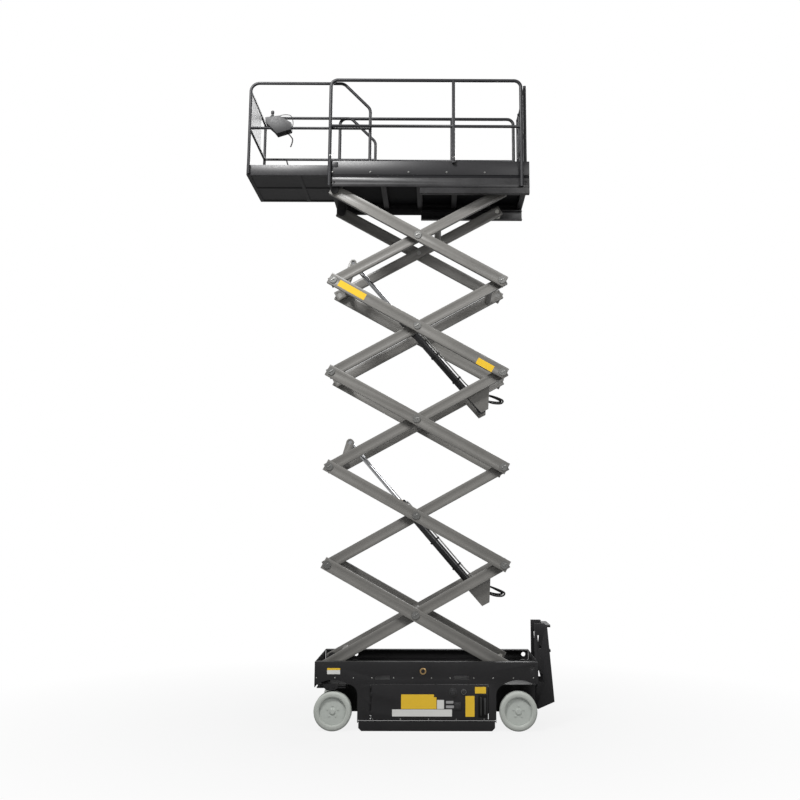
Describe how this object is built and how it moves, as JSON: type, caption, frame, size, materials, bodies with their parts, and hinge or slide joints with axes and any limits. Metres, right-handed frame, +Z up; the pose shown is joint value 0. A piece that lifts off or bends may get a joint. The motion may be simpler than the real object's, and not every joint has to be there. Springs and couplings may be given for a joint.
{
  "type": "scissor lift",
  "caption": "Self-propelled scissor lift: crossed arms raise a railed platform with a slide-out deck over a wheeled base with steered front wheels.",
  "frame": {"origin": "on the ground under the middle of the whole machine at rest", "axes": "+Z up, +X from the extension end to the ladder end, +Y to the far side"},
  "size_m": [3.343, 1.208, 6.9318],
  "materials": {
    "frame_paint": "satin",
    "arm_paint": "satin",
    "rail_paint": "satin",
    "pin_steel": "satin",
    "roller_nylon": "matte",
    "rod_chrome": "polished",
    "barrel_paint": "satin",
    "tyre": "matte",
    "disc_paint": "satin",
    "box_plastic": "matte",
    "block_plastic": "matte"
  },
  "bodies": {
    "chassis": {"chassis_rails": "frame_paint", "chassis_box": "frame_paint", "front_axle": "frame_paint", "rear_axle": "frame_paint", "ladder": "frame_paint"},
    "inner_1": {"inner_frame_1": "arm_paint"},
    "outer_1": {"outer_arms_1": "arm_paint", "pins_1": "pin_steel", "foot_rollers": "roller_nylon"},
    "inner_2": {"inner_frame_2": "arm_paint"},
    "outer_2": {"outer_arms_2": "arm_paint", "pins_2": "pin_steel"},
    "inner_3": {"inner_frame_3": "arm_paint"},
    "outer_3": {"outer_arms_3": "arm_paint", "pins_3": "pin_steel"},
    "inner_4": {"inner_frame_4": "arm_paint"},
    "outer_4": {"outer_arms_4": "arm_paint", "pins_4": "pin_steel"},
    "inner_5": {"inner_frame_5": "arm_paint", "head_rollers": "roller_nylon"},
    "outer_5": {"outer_arms_5": "arm_paint", "pins_5": "pin_steel"},
    "lower_barrel": {"lower_barrel": "barrel_paint"},
    "lower_rod": {"lower_rod": "rod_chrome"},
    "upper_barrel": {"upper_barrel": "barrel_paint"},
    "upper_rod": {"upper_rod": "rod_chrome"},
    "near_knuckle": {"near_knuckle": "frame_paint"},
    "far_knuckle": {"far_knuckle": "frame_paint"},
    "near_tray": {"near_tray": "frame_paint", "hydraulic_unit": "frame_paint"},
    "far_tray": {"far_tray": "frame_paint", "battery_pack": "block_plastic"},
    "near_guard": {"near_guard": "frame_paint"},
    "far_guard": {"far_guard": "frame_paint"},
    "front_near_wheel": {"front_near_tyre": "tyre", "front_near_disc": "disc_paint"},
    "front_far_wheel": {"front_far_tyre": "tyre", "front_far_disc": "disc_paint"},
    "rear_near_wheel": {"rear_near_tyre": "tyre", "rear_near_disc": "disc_paint"},
    "rear_far_wheel": {"rear_far_tyre": "tyre", "rear_far_disc": "disc_paint"},
    "platform": {"platform_frame": "frame_paint", "platform_floor": "frame_paint", "toe_boards": "frame_paint", "side_rails": "rail_paint", "rear_rails": "rail_paint"},
    "extension": {"extension_deck": "frame_paint", "extension_rails": "rail_paint", "control_box": "box_plastic"},
    "gate": {"gate": "rail_paint"}
  },
  "joints": [
    {"name": "lift", "type": "hinge", "parent": "chassis", "child": "inner_1", "pos_m": [-0.6935, 0, 0.616], "axis": [0, -1, 0], "range_deg": [-25.01, 30.12]},
    {"name": "centre_pivot_1", "type": "hinge", "parent": "inner_1", "child": "outer_1", "pos_m": [0.22676, 0, 1.12158], "axis": [0, -1, 0], "range_deg": [-60.73, 50.53]},
    {"name": "end_pivot_1", "type": "hinge", "parent": "outer_1", "child": "inner_2", "pos_m": [-0.6935, 0, 1.62717], "axis": [0, -1, 0], "range_deg": [-50.53, 60.73]},
    {"name": "centre_pivot_2", "type": "hinge", "parent": "inner_2", "child": "outer_2", "pos_m": [0.22676, 0, 2.13275], "axis": [0, -1, 0], "range_deg": [-60.73, 50.53]},
    {"name": "end_pivot_2", "type": "hinge", "parent": "outer_2", "child": "inner_3", "pos_m": [-0.6935, 0, 2.63834], "axis": [0, -1, 0], "range_deg": [-50.53, 60.73]},
    {"name": "centre_pivot_3", "type": "hinge", "parent": "inner_3", "child": "outer_3", "pos_m": [0.22676, 0, 3.14392], "axis": [0, -1, 0], "range_deg": [-60.73, 50.53]},
    {"name": "end_pivot_3", "type": "hinge", "parent": "outer_3", "child": "inner_4", "pos_m": [-0.6935, 0, 3.64951], "axis": [0, -1, 0], "range_deg": [-50.53, 60.73]},
    {"name": "centre_pivot_4", "type": "hinge", "parent": "inner_4", "child": "outer_4", "pos_m": [0.22676, 0, 4.15509], "axis": [0, -1, 0], "range_deg": [-60.73, 50.53]},
    {"name": "end_pivot_4", "type": "hinge", "parent": "outer_4", "child": "inner_5", "pos_m": [-0.6935, 0, 4.66068], "axis": [0, -1, 0], "range_deg": [-50.53, 60.73]},
    {"name": "centre_pivot_5", "type": "hinge", "parent": "inner_5", "child": "outer_5", "pos_m": [0.22676, 0, 5.16626], "axis": [0, -1, 0], "range_deg": [-60.73, 50.53]},
    {"name": "platform_pivot", "type": "hinge", "parent": "outer_5", "child": "platform", "pos_m": [-0.6935, 0, 5.67184], "axis": [0, -1, 0], "range_deg": [-25.51, 30.62]},
    {"name": "lower_barrel_pivot", "type": "hinge", "parent": "inner_1", "child": "lower_barrel", "pos_m": [0.93022, 0, 1.27415], "axis": [0, -1, 0], "range_deg": [-62.84, 52.28]},
    {"name": "lower_rod_slide", "type": "slide", "parent": "lower_barrel", "child": "lower_rod", "axis": [-0.6582, 0, 0.7528], "range_m": [-0.5987, 0.7198]},
    {"name": "upper_barrel_pivot", "type": "hinge", "parent": "inner_3", "child": "upper_barrel", "pos_m": [0.93022, 0, 3.29649], "axis": [0, -1, 0], "range_deg": [-62.84, 52.28]},
    {"name": "upper_rod_slide", "type": "slide", "parent": "upper_barrel", "child": "upper_rod", "axis": [-0.6582, 0, 0.7528], "range_m": [-0.5987, 0.7198]},
    {"name": "near_steer", "type": "hinge", "parent": "chassis", "child": "near_knuckle", "pos_m": [-0.6005, -0.4, 0.1905], "axis": [0, 0, 1], "range_deg": [-40, 40]},
    {"name": "far_steer", "type": "hinge", "parent": "chassis", "child": "far_knuckle", "pos_m": [-0.6005, 0.4, 0.1905], "axis": [0, 0, 1], "range_deg": [-41, 41]},
    {"name": "front_near_spin", "type": "hinge", "parent": "near_knuckle", "child": "front_near_wheel", "pos_m": [-0.6005, -0.4, 0.1905], "axis": [0, 1, 0], "continuous": true},
    {"name": "front_far_spin", "type": "hinge", "parent": "far_knuckle", "child": "front_far_wheel", "pos_m": [-0.6005, 0.4, 0.1905], "axis": [0, 1, 0], "continuous": true},
    {"name": "rear_near_spin", "type": "hinge", "parent": "chassis", "child": "rear_near_wheel", "pos_m": [1.2705, -0.4, 0.1905], "axis": [0, 1, 0], "continuous": true},
    {"name": "rear_far_spin", "type": "hinge", "parent": "chassis", "child": "rear_far_wheel", "pos_m": [1.2705, 0.4, 0.1905], "axis": [0, 1, 0], "continuous": true},
    {"name": "near_tray_swing", "type": "hinge", "parent": "chassis", "child": "near_tray", "pos_m": [-0.2185, -0.58, 0.27], "axis": [0, 0, -1], "range_deg": [0, 90]},
    {"name": "far_tray_swing", "type": "hinge", "parent": "chassis", "child": "far_tray", "pos_m": [-0.2185, 0.58, 0.27], "axis": [0, 0, 1], "range_deg": [0, 90]},
    {"name": "near_guard_fold", "type": "hinge", "parent": "chassis", "child": "near_guard", "pos_m": [0.3065, -0.565, 0.098], "axis": [1, 0, 0], "range_deg": [0, 90]},
    {"name": "far_guard_fold", "type": "hinge", "parent": "chassis", "child": "far_guard", "pos_m": [0.3065, 0.565, 0.098], "axis": [-1, 0, 0], "range_deg": [0, 90]},
    {"name": "extension_slide", "type": "slide", "parent": "platform", "child": "extension", "axis": [1, 0, 0], "range_m": [0, 0.905]},
    {"name": "gate_swing", "type": "hinge", "parent": "platform", "child": "gate", "pos_m": [1.4135, 0.32, 6.37184], "axis": [0, 0, -1], "range_deg": [0, 90]}
  ],
  "couplings": [
    {"joint": "centre_pivot_1", "follows": "lift", "ratio": -2},
    {"joint": "end_pivot_1", "follows": "lift", "ratio": 2},
    {"joint": "centre_pivot_2", "follows": "lift", "ratio": -2},
    {"joint": "end_pivot_2", "follows": "lift", "ratio": 2},
    {"joint": "centre_pivot_3", "follows": "lift", "ratio": -2},
    {"joint": "end_pivot_3", "follows": "lift", "ratio": 2},
    {"joint": "centre_pivot_4", "follows": "lift", "ratio": -2},
    {"joint": "end_pivot_4", "follows": "lift", "ratio": 2},
    {"joint": "centre_pivot_5", "follows": "lift", "ratio": -2},
    {"joint": "platform_pivot", "follows": "lift", "ratio": 1},
    {"joint": "lower_barrel_pivot", "follows": "lift", "ratio": -2.07},
    {"joint": "lower_rod_slide", "follows": "lift", "m_per_rad": 1.36},
    {"joint": "upper_barrel_pivot", "follows": "lift", "ratio": -2.07},
    {"joint": "upper_rod_slide", "follows": "lift", "m_per_rad": 1.36},
    {"joint": "far_steer", "follows": "near_steer", "ratio": 1}
  ]
}
